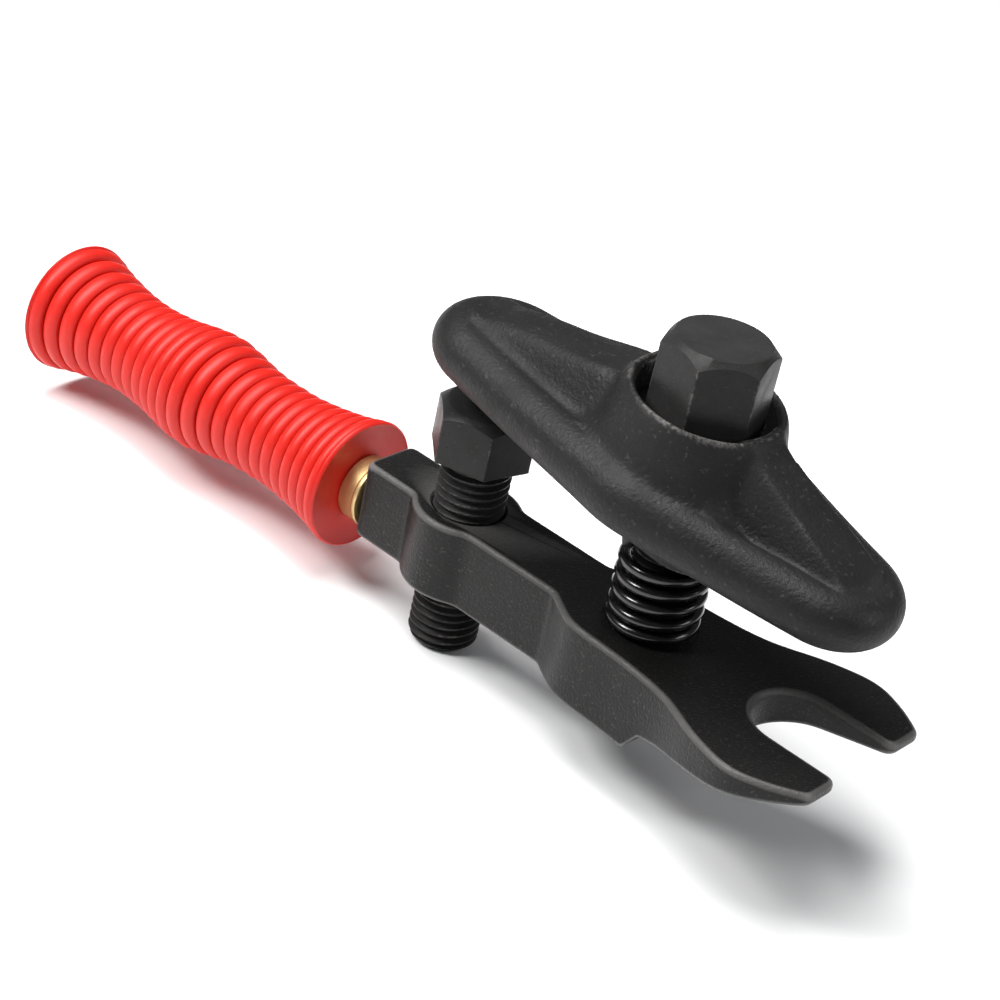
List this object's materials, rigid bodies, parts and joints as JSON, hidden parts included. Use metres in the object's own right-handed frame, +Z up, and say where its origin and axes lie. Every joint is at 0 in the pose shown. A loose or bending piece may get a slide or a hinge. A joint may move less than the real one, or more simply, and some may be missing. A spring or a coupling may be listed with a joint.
{
  "type": "ball joint separator",
  "caption": "Forked hand tool with a rocker lever that a hexagon-headed screw pulls down, a rear adjusting screw, a spring and a ribbed red grip.",
  "frame": {"origin": "on the body's flat top face, on the centreline between the spring and the fork's throat", "axes": "+Z up along both screws, out of the top face; +X from the handle towards the fork's tips"},
  "size_m": [0.3029, 0.0652, 0.1282],
  "materials": {
    "black_forging": "satin black coating over a forged surface",
    "bare_forging": "dark scaled forging, edges rubbed bright",
    "blackened_steel": "black oxide, slightly oily",
    "spring_black": "glossy black enamel",
    "zinc_steel": "bright zinc plate",
    "yellow_zinc": "yellow zinc plate",
    "red_plastic": "moulded red plastic, soft sheen"
  },
  "bodies": {
    "frame": {"body": "black_forging", "handle_rod": "zinc_steel", "ferrule": "yellow_zinc", "grip": "red_plastic", "end_washer": "zinc_steel", "end_nut": "zinc_steel", "return_spring": "spring_black"},
    "washer": {"thrust_washer": "blackened_steel"},
    "force_screw": {"force_screw": "blackened_steel"},
    "lever": {"rocker_lever": "bare_forging"},
    "adjuster": {"adjusting_screw": "blackened_steel"}
  },
  "joints": [
    {"name": "washer_advance", "type": "slide", "parent": "frame", "child": "washer", "axis": [0, 0, 1], "range_m": [-0.004, 0], "deforming": ["return_spring"]},
    {"name": "force_screw_turn", "type": "hinge", "parent": "washer", "child": "force_screw", "pos_m": [-0.026, 0, 0.0606], "axis": [0, 0, 1], "range_deg": [-577.5, 0]},
    {"name": "lever_rock", "type": "hinge", "parent": "washer", "child": "lever", "pos_m": [-0.026, 0, 0.072], "axis": [0, 1, 0], "range_deg": [0, 3.49]},
    {"name": "adjusting_screw_travel", "type": "slide", "parent": "frame", "child": "adjuster", "axis": [0, 0, 1], "range_m": [-0.0155, 0]}
  ],
  "couplings": [
    {"joint": "force_screw_turn", "follows": "washer_advance", "rad_per_m": 2513.3},
    {"joint": "lever_rock", "follows": "washer_advance", "rad_per_m": -15.152}
  ]
}
